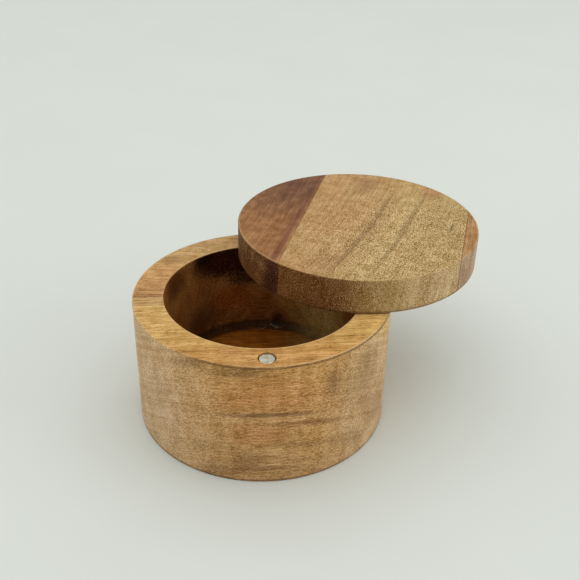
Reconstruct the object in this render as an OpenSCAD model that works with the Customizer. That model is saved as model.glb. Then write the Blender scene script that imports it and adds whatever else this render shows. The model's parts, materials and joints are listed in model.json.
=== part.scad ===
// Round turned salt box. A thick disc lid swings aside on an upright pin in the rear of the rim, and
// a pair of disc magnets holds it shut at the front. Box and lid are turned from glued boards.
// The origin is the centre of the box's underside, +Z is up and +Y points at the pivot pin.

/* [Box] */
// Diameter of the box
box_d = 105; // [92:1:140]
// Height of the box without the lid
box_h = 54.5; // [44:0.5:90]
// Radius that the turned edges are eased to, by two small flats
edge_r = 0.5; // [0.2:0.1:1]
// Place of the glue seam, measured from the box's centre towards the pivot
box_seam_y = -0.5; // [-8:0.5:8]

/* [Well] */
// Thickness of the wall around the well, which is also the width of the rim
wall_t = 12.5; // [11:0.5:18]
// Thickness of the wood under the well
floor_t = 12; // [6:0.5:18]
// Radius of the cove where the wall of the well meets its floor
cove_r = 3.5; // [1:0.5:8]

/* [Lid] */
// Thickness of the lid
lid_t = 15; // [13:0.5:24]
// How much smaller the lid's radius is than the box's
lid_inset = 0.5; // [0:0.1:1]
// Width of the dark rear board, from the lid's rear edge to its seam
rear_board_w = 28.3; // [16:0.1:36]
// Width of the strip at the lid's front edge
edge_strip_w = 5.6; // [3:0.1:12]
// How far the lid's seams are turned, in degrees from the direction of the box's seam when closed
board_turn = -0.6; // [-10:0.1:10]
// How far the lid stands open, in degrees from its closed place
lid_open = 71; // [0:1:180]

/* [Magnets] */
// Diameter of each disc magnet
magnet_d = 6; // [3:0.5:7]
// Thickness of each disc magnet
magnet_t = 3; // [1:0.5:5]
// Space between a magnet and the wall of its pocket
magnet_gap = 0.5; // [0.1:0.1:0.5]
// Chamfer round the corners of each magnet
magnet_chamfer = 0.25; // [0.05:0.05:0.4]
// How far a magnet sits below the surface of the wood
magnet_sink = 0.4; // [0.1:0.1:1]
// How far the magnets are turned round the rim, in degrees from straight opposite the pin
magnet_turn = 2; // [0:0.5:15]

/* [Pivot] */
// Diameter of the pivot pin
pin_d = 5; // [3:0.5:6]
// Depth of the pin in the box
pin_in_box = 18; // [10:0.5:30]
// Depth of the pin in the lid
pin_in_lid = 9.5; // [5:0.5:10]
// Chamfer at the ends of the pin and the sleeve
pin_chamfer = 0.4; // [0.1:0.1:0.5]
// Running gap between the pin and the sleeve
run_gap = 0.05; // [0.02:0.01:0.1]
// Wall of the sleeve
sleeve_wall = 1; // [0.8:0.1:1.5]
// Space between the end of the pin and the end of its bore in the lid
end_gap = 0.5; // [0.2:0.1:1]
// Diameter of the washer
washer_d = 10; // [9.5:0.1:10.5]
// Thickness of the washer, which is the gap between rim and lid
washer_t = 0.5; // [0.3:0.1:1]
// Space between the washer's hole and the pin
washer_gap = 0.1; // [0.05:0.05:0.3]

/* [Hidden] */
$fn = 128;

// Turned radii
box_r = box_d / 2;
well_r = box_r - wall_t;
lid_r = box_r - lid_inset;
// The pin and the magnets stand in the middle of the rim
pivot_r = box_r - wall_t / 2;
// Height of the lid's underside
lid_z = box_h + washer_t;
// Distances of the lid's seams from its centre
rear_seam_y = lid_r - rear_board_w;
strip_seam_y = edge_strip_w - lid_r;
// Where the two flats of an eased edge meet, measured in from the corner that they take off
edge_mid = edge_r * (1 - sin(45));
// Bores and pockets
pocket_d = magnet_d + 2 * magnet_gap;
pocket_depth = magnet_t + magnet_sink;
pin_length = pin_in_box + washer_t + pin_in_lid;
sleeve_bore_d = pin_d + 2 * run_gap;
sleeve_d = sleeve_bore_d + 2 * sleeve_wall;
sleeve_length = pin_in_lid + end_gap;
// How far a cutting shape runs past what it cuts
past = 1;

// Disc with both edges eased, standing on the XY plane
module turned_disc(r, h) {
    rotate_extrude() polygon([
        [0, 0], [r - edge_r, 0], [r - edge_mid, edge_mid], [r, edge_r],
        [r, h - edge_r], [r - edge_mid, h - edge_mid], [r - edge_r, h], [0, h]
    ]);
}

// Space of the well: straight wall, coved foot and an eased mouth
module well() {
    rotate_extrude() {
        translate([0, floor_t + cove_r]) square([well_r, box_h - floor_t - cove_r]);
        translate([0, floor_t]) square([well_r - cove_r, box_h - floor_t]);
        translate([well_r - cove_r, floor_t + cove_r]) circle(cove_r, $fn = 48);
        polygon([
            [0, box_h - edge_r], [well_r, box_h - edge_r], [well_r + edge_mid, box_h - edge_mid],
            [well_r + edge_r, box_h], [well_r + edge_r, box_h + past], [0, box_h + past]
        ]);
    }
}

// Rod with both ends chamfered, standing on the XY plane
module chamfered_rod(d, h, c) {
    r = d / 2;
    rotate_extrude() polygon([[0, 0], [r - c, 0], [r, c], [r, h - c], [r - c, h], [0, h]]);
}

// Slice of space between two planes square to Y, which a board is cut from
module board_space(y_low, y_high, h) {
    translate([-box_r - past, y_low, -past]) cube([box_d + 2 * past, y_high - y_low, h + 2 * past]);
}

// Puts what belongs at the magnets' angle in its place on the rim
module at_magnet() {
    rotate(-magnet_turn) translate([0, -pivot_r, 0]) children();
}

// Puts what belongs at the pin in its place on the rim
module at_pivot() {
    translate([0, pivot_r, 0]) children();
}

// Lifts the lid's pieces onto the washer and swings them open about the pin
module lid_place() {
    at_pivot() rotate(lid_open) translate([0, -pivot_r, lid_z]) children();
}

// Whole box, before it is parted at the glue seam
module box_shape() {
    difference() {
        turned_disc(box_r, box_h);
        well();
    }
}

// Whole closed lid standing on the XY plane, with its bore and pocket, before it is parted at the seams
module lid_shape() {
    difference() {
        turned_disc(lid_r, lid_t);
        at_pivot() translate([0, 0, -past]) cylinder(d = sleeve_d, h = sleeve_length + past);
        at_magnet() translate([0, 0, -past]) cylinder(d = pocket_d, h = pocket_depth + past);
    }
}

// One board of the lid, in its place
module lid_board(y_low, y_high) {
    lid_place() intersection() {
        lid_shape();
        rotate(board_turn) board_space(y_low, y_high, lid_t);
    }
}

// Disc magnet, standing on the XY plane
module disc_magnet() {
    chamfered_rod(magnet_d, magnet_t, magnet_chamfer);
}

// Front half of the box, with the pocket of the rim magnet
module body_front_board() {
    color([0.76, 0.57, 0.35]) difference() {
        intersection() {
            box_shape();
            board_space(-box_r - past, box_seam_y, box_h);
        }
        at_magnet() translate([0, 0, box_h - pocket_depth]) cylinder(d = pocket_d, h = pocket_depth + past);
    }
}

// Rear half of the box, with the bore that the pin is pressed into
module body_rear_board() {
    color([0.69, 0.5, 0.3]) difference() {
        intersection() {
            box_shape();
            board_space(box_seam_y, box_r + past, box_h);
        }
        at_pivot() translate([0, 0, box_h - pin_in_box]) cylinder(d = pin_d, h = pin_in_box + past);
    }
}

// Magnet in the rim, on the floor of its pocket
module rim_magnet() {
    color([0.72, 0.71, 0.66]) at_magnet() translate([0, 0, box_h - pocket_depth]) disc_magnet();
}

// Pin that the lid turns on
module pivot_pin() {
    color([0.66, 0.67, 0.68]) at_pivot() translate([0, 0, box_h - pin_in_box]) {
        chamfered_rod(pin_d, pin_length, pin_chamfer);
    }
}

// Washer that carries the lid
module pivot_washer() {
    color([0.9, 0.89, 0.84]) at_pivot() translate([0, 0, box_h]) difference() {
        cylinder(d = washer_d, h = washer_t);
        translate([0, 0, -past]) cylinder(d = pin_d + 2 * washer_gap, h = washer_t + 2 * past);
    }
}

// Bush in the lid that runs on the pin
module pivot_sleeve() {
    color([0.78, 0.62, 0.3]) lid_place() at_pivot() difference() {
        chamfered_rod(sleeve_d, sleeve_length, pin_chamfer);
        translate([0, 0, -past]) cylinder(d = sleeve_bore_d, h = sleeve_length + 2 * past);
    }
}

// Dark board at the lid's pivot end
module lid_rear_board() {
    color([0.52, 0.35, 0.24]) lid_board(rear_seam_y, lid_r + past);
}

// Wide pale board across the lid's middle
module lid_middle_board() {
    color([0.71, 0.58, 0.4]) lid_board(strip_seam_y, rear_seam_y);
}

// Narrow strip at the lid's front edge
module lid_edge_strip() {
    color([0.66, 0.44, 0.28]) lid_board(-lid_r - past, strip_seam_y);
}

// Magnet in the lid's underside, which meets the rim magnet when the lid is closed
module lid_magnet() {
    color([0.72, 0.71, 0.66]) lid_place() at_magnet() translate([0, 0, magnet_sink]) disc_magnet();
}

body_front_board();
body_rear_board();
rim_magnet();
pivot_pin();
pivot_washer();
pivot_sleeve();
lid_rear_board();
lid_middle_board();
lid_edge_strip();
lid_magnet();
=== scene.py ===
"""Round turned salt box whose thick disc lid swings aside on an upright pin.

The box and the lid are turned from glued boards. The boards and the two magnets are modelled here
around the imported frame, and the pin, the sleeve and the washer are the frame's own solids. Sizes
are in millimetres unless a name says otherwise.
"""

import json
import logging
import math
from collections.abc import Callable, Iterator
from contextlib import contextmanager
from dataclasses import dataclass, field, replace
from enum import Enum
from functools import reduce

import bmesh
import bpy
from mathutils import Matrix, Vector


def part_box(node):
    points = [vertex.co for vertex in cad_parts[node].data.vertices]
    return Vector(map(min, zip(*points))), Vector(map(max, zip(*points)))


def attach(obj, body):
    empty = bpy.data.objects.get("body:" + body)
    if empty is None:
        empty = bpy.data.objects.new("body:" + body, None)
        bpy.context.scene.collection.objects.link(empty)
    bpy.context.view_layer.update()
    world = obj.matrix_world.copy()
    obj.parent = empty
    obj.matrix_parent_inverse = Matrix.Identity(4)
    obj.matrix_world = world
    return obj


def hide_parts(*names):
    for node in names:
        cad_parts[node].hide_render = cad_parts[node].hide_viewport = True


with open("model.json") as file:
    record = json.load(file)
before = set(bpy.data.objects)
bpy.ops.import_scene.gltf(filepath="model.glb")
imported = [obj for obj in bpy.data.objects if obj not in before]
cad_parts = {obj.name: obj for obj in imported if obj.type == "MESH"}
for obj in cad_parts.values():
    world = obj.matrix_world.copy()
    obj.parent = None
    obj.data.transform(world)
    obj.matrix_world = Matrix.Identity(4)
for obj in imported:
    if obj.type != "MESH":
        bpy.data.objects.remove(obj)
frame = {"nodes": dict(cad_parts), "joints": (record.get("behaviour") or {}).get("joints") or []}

log = logging.getLogger("salt_box")

# One millimetre in Blender's metres
MM = 0.001
# How close a vertex has to lie to a ring for its edges to count as that ring's
RING_TOLERANCE = 0.02
# How upright the normal of a level face is at least
LEVEL_NORMAL = 0.99
# Distance below which vertices are merged, and the angle up to which a fold is shaded smooth
MERGE_DISTANCE = 0.001
SMOOTH_ANGLE = math.radians(30)
# Sides of a turned disc, and of a drilled hole or a magnet
TURNED_SIDES = 256
DRILLED_SIDES = 64
# Width that the turned edges are eased over, and the steps of an eased edge
EDGE_EASE = 0.5
EDGE_STEPS = 4

# A size in two directions, or a place on the ground
Pair = tuple[float, float]
Point = tuple[float, float, float]
# Red, green and blue as they show on a screen, from 0 to 255
Tone = tuple[float, float, float]
Socket = bpy.types.NodeSocket
Value = float | Socket
Shade = Tone | Socket
Material = bpy.types.Material


def linear(shade: Shade) -> Socket | tuple[float, ...]:
    """Turns a tone as it shows on a screen into the colour that a shader takes.

    Args:
        shade: The tone, or a socket, which is left as it is.

    Returns:
        The socket, or the linear red, green and blue with an alpha of 1.
    """
    if isinstance(shade, Socket):
        return shade
    shares = [level / 255 for level in shade]
    return *(s / 12.92 if s <= 0.04045 else ((s + 0.055) / 1.055) ** 2.4 for s in shares), 1.0


class Body(Enum):
    """Moving bodies that a piece can ride on."""

    BOX = "box"
    LID = "lid"


class Part(Enum):
    """Kinds of mesh element that can be picked in edit mode."""

    FACE = "FACE"
    EDGE = "EDGE"


class Zone(Enum):
    """Stretches of a turned surface that a mark can be kept to."""

    ANY = "any"
    SIDE = "side"
    WELL = "well"


def node_extent(*nodes: str) -> tuple[Vector, Vector]:
    """Measures one or more frame nodes together.

    Args:
        *nodes: The nodes' names.

    Returns:
        Their lowest and highest corner, in millimetres.
    """
    corners = [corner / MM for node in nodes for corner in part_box(node)]
    low = Vector([min(corner[axis] for corner in corners) for axis in range(3)])
    high = Vector([max(corner[axis] for corner in corners) for axis in range(3)])
    return low, high


@dataclass(frozen=True)
class Drum:
    """Upright round space."""

    radius: float
    low: float
    high: float
    centre: Pair = (0.0, 0.0)
    """Where its axis stands on the ground."""
    well_radius: float = 0.0
    """Radius of the well in it, or 0 where there is none."""
    well_floor: float = 0.0
    """Height of the well's floor."""

    @property
    def eased_edges(self) -> tuple[Pair, ...]:
        """Radius and height of each edge that is eased on a turned piece of this shape."""
        outer = (self.radius, self.low), (self.radius, self.high)
        return (*outer, (self.well_radius, self.high)) if self.well_radius else outer

    @classmethod
    def around(cls, *nodes: str) -> "Drum":
        """Returns the drum that a round frame node fills, or several of them together."""
        low, high = node_extent(*nodes)
        return cls((high.x - low.x) / 2, low.z, high.z, ((low.x + high.x) / 2, (low.y + high.y) / 2))


@dataclass
class Workpiece:
    """A mesh on the bench, shaped with Blender's own operators."""

    piece: bpy.types.Object
    centre: Pair = (0.0, 0.0)
    """Where its turning axis stands on the ground."""

    @classmethod
    def turned(cls, name: str, drum: Drum, sides: int = DRILLED_SIDES) -> "Workpiece":
        """Puts a round blank on the bench.

        Args:
            name: Name of the piece.
            drum: The space that it fills.
            sides: Number of its sides.

        Returns:
            The blank, with its place in its mesh.
        """
        bpy.ops.object.select_all(action="DESELECT")
        bpy.ops.mesh.primitive_cylinder_add(
            vertices=sides,
            radius=drum.radius * MM,
            depth=(drum.high - drum.low) * MM,
            location=(drum.centre[0] * MM, drum.centre[1] * MM, (drum.low + drum.high) / 2 * MM),
        )
        blank = cls(bpy.context.active_object, drum.centre)
        blank.label(name)
        bpy.ops.object.transform_apply(location=True, rotation=True, scale=True)
        return blank

    def label(self, name: str) -> None:
        """Names the piece and its mesh."""
        self.piece.name = self.piece.data.name = name

    def select(self) -> None:
        """Selects this piece alone and makes it the active one."""
        bpy.ops.object.select_all(action="DESELECT")
        self.piece.select_set(True)
        bpy.context.view_layer.objects.active = self.piece

    @contextmanager
    def editing(self) -> Iterator[None]:
        """Keeps the piece in edit mode for as long as the block runs."""
        self.select()
        bpy.ops.object.mode_set(mode="EDIT")
        yield
        bpy.ops.object.mode_set(mode="OBJECT")

    def pick(self, part: Part, fits: Callable[..., bool]) -> None:
        """Selects the faces or edges that pass a test, and nothing else.

        Args:
            part: Whether faces or edges are picked.
            fits: Says of one face or edge whether it is picked.
        """
        bpy.ops.mesh.select_mode(type=part.value)
        bpy.ops.mesh.select_all(action="DESELECT")
        mesh = bmesh.from_edit_mesh(self.piece.data)
        for element in mesh.faces if part is Part.FACE else mesh.edges:
            element.select_set(fits(element))
        bmesh.update_edit_mesh(self.piece.data)

    def pick_ring(self, radius: float, height: float) -> None:
        """Selects the edges of the circle that lies at a radius and a height.

        Args:
            radius: Distance of the circle from the turning axis.
            height: Height of the circle.
        """

        def on_ring(corner: bmesh.types.BMVert) -> bool:
            """Tells whether a corner lies on the circle."""
            across = math.hypot(corner.co.x / MM - self.centre[0], corner.co.y / MM - self.centre[1])
            return abs(across - radius) < RING_TOLERANCE and abs(corner.co.z / MM - height) < RING_TOLERANCE

        self.pick(Part.EDGE, lambda edge: all(on_ring(corner) for corner in edge.verts))

    def pick_flat(self, height: float) -> None:
        """Selects the upright-facing faces at a height."""
        self.pick(
            Part.FACE,
            lambda face: abs(face.normal.z) > LEVEL_NORMAL
            and abs(face.calc_center_median().z / MM - height) < RING_TOLERANCE,
        )

    def inset(self, width: float) -> None:
        """Insets the picked faces by a width."""
        bpy.ops.mesh.inset(thickness=width * MM)

    def extrude(self, rise: float) -> None:
        """Extrudes the picked faces upwards, or downwards where the rise is negative."""
        bpy.ops.mesh.extrude_region_move(TRANSFORM_OT_translate={"value": (0, 0, rise * MM)})

    def lift(self, rise: float) -> None:
        """Moves the picked faces upwards, or downwards where the rise is negative."""
        bpy.ops.transform.translate(value=(0, 0, rise * MM))

    def round_over(self, width: float, steps: int) -> None:
        """Rounds the picked edges over a width, in a number of steps."""
        bpy.ops.mesh.bevel(offset=width * MM, offset_type="OFFSET", segments=steps, profile=0.5)

    def flare(self, growth: float) -> None:
        """Scales the picked faces about the turning axis, level with the ground."""
        height = self.piece.data.vertices[0].co.z
        bpy.ops.transform.resize(
            value=(growth, growth, 1),
            center_override=(self.centre[0] * MM, self.centre[1] * MM, height),
        )

    def ease_edges(self, drum: Drum) -> None:
        """Rounds the turned edges.

        Args:
            drum: The shape whose edges they are.
        """
        for radius, height in drum.eased_edges:
            self.pick_ring(radius, height)
            self.round_over(EDGE_EASE, EDGE_STEPS)

    def carve(self, cutter: "Workpiece") -> None:
        """Cuts another workpiece out of this one and throws the cutter away.

        Args:
            cutter: The workpiece whose space is taken out.
        """
        self.select()
        cut = self.piece.modifiers.new("carve", "BOOLEAN")
        cut.operation = "DIFFERENCE"
        cut.solver = "EXACT"
        cut.object = cutter.piece
        bpy.ops.object.modifier_apply(modifier=cut.name)
        bpy.data.objects.remove(cutter.piece)

    def copy(self, name: str) -> "Workpiece":
        """Makes a copy with its own mesh.

        Args:
            name: Name of the copy.

        Returns:
            The copy.
        """
        self.select()
        bpy.ops.object.duplicate()
        twin = Workpiece(bpy.context.active_object, self.centre)
        twin.label(name)
        return twin

    def saw(self, point: Point, keep: Point) -> None:
        """Saws the piece along a plane, closes the cut and drops what lies behind the plane.

        Args:
            point: A point of the plane.
            keep: The direction, square to the plane, in which the kept side lies.
        """
        with self.editing():
            bpy.ops.mesh.select_all(action="SELECT")
            bpy.ops.mesh.bisect(
                plane_co=[place * MM for place in point],
                plane_no=keep,
                use_fill=True,
                clear_inner=True,
            )

    def swing(self, about: Pair, degrees: float) -> None:
        """Turns the piece about an upright axis and puts the turn into its mesh.

        Args:
            about: Where the axis stands on the ground.
            degrees: Angle of the turn, anticlockwise from above.
        """
        self.select()
        axis = Matrix.Translation((about[0] * MM, about[1] * MM, 0))
        self.piece.matrix_world = axis @ Matrix.Rotation(math.radians(degrees), 4, "Z") @ axis.inverted()
        bpy.ops.object.transform_apply(location=True, rotation=True, scale=True)

    def finish(self) -> bpy.types.Object:
        """Merges doubles, turns the faces outwards and gives the mesh its final shading.

        Returns:
            The finished object.
        """
        with self.editing():
            bpy.ops.mesh.select_all(action="SELECT")
            bpy.ops.mesh.remove_doubles(threshold=MERGE_DISTANCE * MM)
            bpy.ops.mesh.normals_make_consistent(inside=False)
        bpy.ops.object.shade_smooth_by_angle(angle=SMOOTH_ANGLE)
        weighted = self.piece.modifiers.new("weighted", "WEIGHTED_NORMAL")
        weighted.keep_sharp = True
        bpy.ops.object.modifier_apply(modifier=weighted.name)
        return self.piece


class Graph:
    """Node tree of a material or of the world, with short calls that add nodes and link them."""

    # Places of the colour sockets on a Mix node, whose names are shared by its other types
    MIX_FACTOR, MIX_A, MIX_B, MIX_RESULT = 0, 6, 7, 2

    def __init__(self, owner: Material | bpy.types.World) -> None:
        """Starts an empty tree.

        Args:
            owner: The new material or world that the tree belongs to.
        """
        owner.use_nodes = True
        self.owner = owner
        self.tree = owner.node_tree
        self.tree.nodes.clear()

    def add(
        self, kind: str, inputs: dict[str | int, object] | None = None, **settings: object
    ) -> bpy.types.Node:
        """Adds a node.

        Args:
            kind: Blender's name for the node's type.
            inputs: Values or sockets for the node's inputs, by name or place.
            **settings: The node's own properties.

        Returns:
            The new node.
        """
        node = self.tree.nodes.new(kind)
        for name, setting in settings.items():
            setattr(node, name, setting)
        for name, value in (inputs or {}).items():
            if isinstance(value, Socket):
                self.tree.links.new(value, node.inputs[name])
            else:
                node.inputs[name].default_value = value
        return node

    def math(self, operation: str, *values: Value) -> Socket:
        """Returns the result of a Math node on one to three values."""
        return self.add("ShaderNodeMath", dict(enumerate(values)), operation=operation).outputs[0]

    def times(self, *values: Value) -> Socket:
        """Returns the product of two or more values."""
        return reduce(lambda first, second: self.math("MULTIPLY", first, second), values)

    def times_add(self, value: Value, factor: Value, added: Value) -> Socket:
        """Returns a value times a factor, with a third value added."""
        return self.math("MULTIPLY_ADD", value, factor, added)

    def vector(self, operation: str, *values: object, out: str = "Vector") -> Socket:
        """Returns the result of a Vector Math node on one to three vectors."""
        return self.add("ShaderNodeVectorMath", dict(enumerate(values)), operation=operation).outputs[out]

    def distance(self, first: Socket, second: Point) -> Socket:
        """Returns how far two points lie apart."""
        return self.vector("DISTANCE", first, second, out="Value")

    def length(self, vector: Socket) -> Socket:
        """Returns the length of a vector."""
        return self.vector("LENGTH", vector, out="Value")

    def split(self, vector: Socket) -> tuple[Socket, ...]:
        """Returns the three parts of a vector."""
        return tuple(self.add("ShaderNodeSeparateXYZ", {0: vector}).outputs)

    def join(self, x: Value = 0.0, y: Value = 0.0) -> Socket:
        """Returns the vector that has the given parts along X and Y."""
        return self.add("ShaderNodeCombineXYZ", {"X": x, "Y": y}).outputs[0]

    def mapping(
        self,
        vector: Socket,
        place: Point = (0, 0, 0),
        turn: Point = (0, 0, 0),
        scale: Point = (1, 1, 1),
        kind: str = "POINT",
    ) -> Socket:
        """Moves, turns and scales a vector.

        Args:
            vector: The vector.
            place: Location of the mapping.
            turn: Rotation of the mapping, in degrees.
            scale: Scale of the mapping.
            kind: Blender's name for the order in which these apply.

        Returns:
            The mapped vector.
        """
        angles = [math.radians(angle) for angle in turn]
        inputs = {"Vector": vector, "Location": place, "Rotation": angles, "Scale": scale}
        return self.add("ShaderNodeMapping", inputs, vector_type=kind).outputs[0]

    def noise(
        self, vector: Socket, detail: float = 2.0, roughness: float = 0.5, out: str | int = 0
    ) -> Socket:
        """Returns smooth noise with features about one unit of the vector across."""
        inputs = {"Vector": vector, "Scale": 1.0, "Detail": detail, "Roughness": roughness}
        return self.add("ShaderNodeTexNoise", inputs).outputs[out]

    def ease(self, value: Value, start: float, end: float, low: Value = 0.0, high: Value = 1.0) -> Socket:
        """Carries a value smoothly from low at start to high at end, and holds it beyond them."""
        inputs = {"Value": value, "From Min": start, "From Max": end, "To Min": low, "To Max": high}
        return self.add("ShaderNodeMapRange", inputs, interpolation_type="SMOOTHSTEP").outputs[0]

    def blend(self, factor: Value, first: Shade, second: Shade) -> Socket:
        """Returns a colour between two, by a factor from 0 to 1."""
        inputs = {self.MIX_FACTOR: factor, self.MIX_A: linear(first), self.MIX_B: linear(second)}
        return self.add("ShaderNodeMix", inputs, data_type="RGBA").outputs[self.MIX_RESULT]

    def ramp(self, value: Value, stops: list[tuple[float, Tone]]) -> Socket:
        """Returns the colour at a value on a scale of tones.

        Args:
            value: Place on the scale.
            stops: Places from 0 to 1 with their tones, in order.

        Returns:
            The colour.
        """
        node = self.add("ShaderNodeValToRGB", {"Fac": value})
        scale = node.color_ramp.elements
        while len(scale) < len(stops):
            scale.new(0.5)
        for element, (place, tone) in zip(scale, stops):
            element.position = place
            element.color = linear(tone)
        return node.outputs[0]

    def surface(
        self, colour: Socket, roughness: Socket, height: Socket, bump: Pair, **constants: float
    ) -> Material:
        """Closes the tree with a surface shader.

        Args:
            colour: Base colour.
            roughness: Roughness.
            height: Height of the fine relief.
            bump: Strength of the relief, and how many millimetres a height of 1 stands for.
            **constants: Shader inputs that are the same all over, with _ for a space.

        Returns:
            The finished material.
        """
        strength, depth = bump
        relief = {"Strength": strength, "Distance": depth * MM, "Height": height}
        normal = self.add("ShaderNodeBump", relief).outputs[0]
        inputs = {"Base Color": colour, "Roughness": roughness, "Normal": normal}
        inputs.update({name.replace("_", " "): value for name, value in constants.items()})
        shader = self.add("ShaderNodeBsdfPrincipled", inputs)
        self.add("ShaderNodeOutputMaterial", {"Surface": shader.outputs[0]})
        return self.owner


@dataclass(frozen=True)
class Grain:
    """How the rings and fibres of one board run.

    The fibres run along X of the board's own frame. A ring is a surface on which
    the phase, measured across the rings, is the same.
    """

    tilt: float
    """Angle from Y to the direction across the rings, towards Z, in degrees."""
    lean: float
    """Rise of the phase for each step along the board."""
    bow: float
    """Fall of the phase with the square of the distance along the board."""
    sway: float
    """How far the rings wander."""
    seed: float
    """Shifts every noise, so that no two boards are alike."""

    def place(self, x: float, y: float, z: float) -> Point:
        """Finds a point of the board in the space of its rings.

        Args:
            x: Place along the board.
            y: Place across the board.
            z: Height.

        Returns:
            Its distances along the grain, across the rings and along the rings.
        """
        tilt = math.radians(self.tilt)
        across = y * math.cos(tilt) + z * math.sin(tilt) + self.lean * x - self.bow * x * x
        return x, across, z * math.cos(tilt) - y * math.sin(tilt)


@dataclass(frozen=True)
class Mark:
    """Streak or patch of another tone, drawn out along the grain and the rings."""

    place: Point
    """Centre of the mark in the board's frame."""
    reach: Point
    """How far it reaches along the grain, across the rings and along the rings."""
    tone: Tone
    strength: float = 0.6
    zone: Zone = Zone.ANY
    core: float = 0.2
    """Share of its reach over which it has its full strength."""
    specks: float = 0.0
    """How far the wood's own tone shows through it in fine specks."""


@dataclass(frozen=True)
class Band:
    """Stretch of another tone between two distances across the board, parallel to its seams."""

    low: float
    high: float
    tone: Tone
    strength: float = 0.7
    soft: float = 0.3
    """Width over which each edge fades."""
    start: float = -200.0
    """Where the band starts along the board."""
    end: float = 200.0
    """Where the band ends along the board."""


@dataclass(frozen=True)
class BoardFrame:
    """Where a board's own frame lies, with X along the grain and the origin on the turning axis."""

    pivot: Pair = (0.0, 0.0)
    """Place of the axis that the board has been swung about."""
    swing: float = 0.0
    """How far it has been swung, in degrees."""
    turn: float = 0.0
    """How far its grain is turned from X before that, in degrees."""

    def read(self, graph: Graph) -> Socket:
        """Adds the nodes that find the surface's place in the board's frame.

        Args:
            graph: The tree that they are added to.

        Returns:
            The place, in millimetres.
        """
        place = graph.add("ShaderNodeTexCoord").outputs["Object"]
        back = Matrix.Rotation(math.radians(-self.swing - self.turn), 2)
        untwist = Matrix.Rotation(math.radians(-self.turn), 2)
        pivot = Vector(self.pivot)
        shift = untwist @ pivot - back @ pivot
        return graph.mapping(place, (*shift, 0), (0, 0, -self.swing - self.turn), (1 / MM,) * 3)


@dataclass(frozen=True)
class WoodFinish:
    """Oiled wood of one board, worked out through its whole thickness."""

    name: str
    board: BoardFrame
    turned: Drum
    """Shape of the whole turned piece that the board belongs to."""
    grain: Grain
    tones: tuple[tuple[float, Tone], ...]
    """Tones across the rings, each with its phase."""
    drift: Tone
    """Tone that wide soft areas drift towards."""
    marks: tuple[Mark, ...] = ()
    bands: tuple[Band, ...] = ()
    seams: tuple[Pair, ...] = ()
    """Distance of each glue line across the board, with its darkness."""
    end_sheen: float = 0.0
    # How far the turned side is paled, as painted sheen, where it cuts across the grain.
    """How far the turned side is paled where it cuts across the grain."""
    fibre_contrast: float = 0.16
    speckle_contrast: float = 0.1
    side_speckle: float = 0.2
    """Contrast of the speckle on the turned side."""
    mottle_contrast: float = 0.1
    stroke_strength: float = 0.4
    """Strength of the long dark strokes along the grain."""
    pale_strokes: float = 0.0
    """Brightness of the pale strokes between them."""
    speckle_from: Point | None = None
    """Where the speckle is strongest, for a board on which it fades away from there."""
    wear_and_highlight: Pair = (0.12, 0.12)
    # How far the eased outer edges are rubbed pale and given a painted highlight, towards the start and the
    # end of the board.
    """How far the eased outer edges are rubbed pale, towards the start and the end of the board."""
    edge_shade: Pair = (0.7, 0.75)
    # Darkness of the painted shade line along the lower and the upper edge of the turned side.
    """Darkness of the line of grime along the lower and the upper edge of the turned side."""

    def build(self) -> Material:
        """Returns the material, which reads only the surface's place in its piece."""
        return WoodTree(self).paint()


@dataclass(frozen=True)
class Figure:
    """Noise that draws one kind of figure in the wood."""

    length: float
    """Length of its features along the grain."""
    width: float
    """Their width across the grain."""
    shift: float
    """Number that keeps this noise apart from the board's others."""
    detail: float = 2.0
    roughness: float = 0.5


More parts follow.
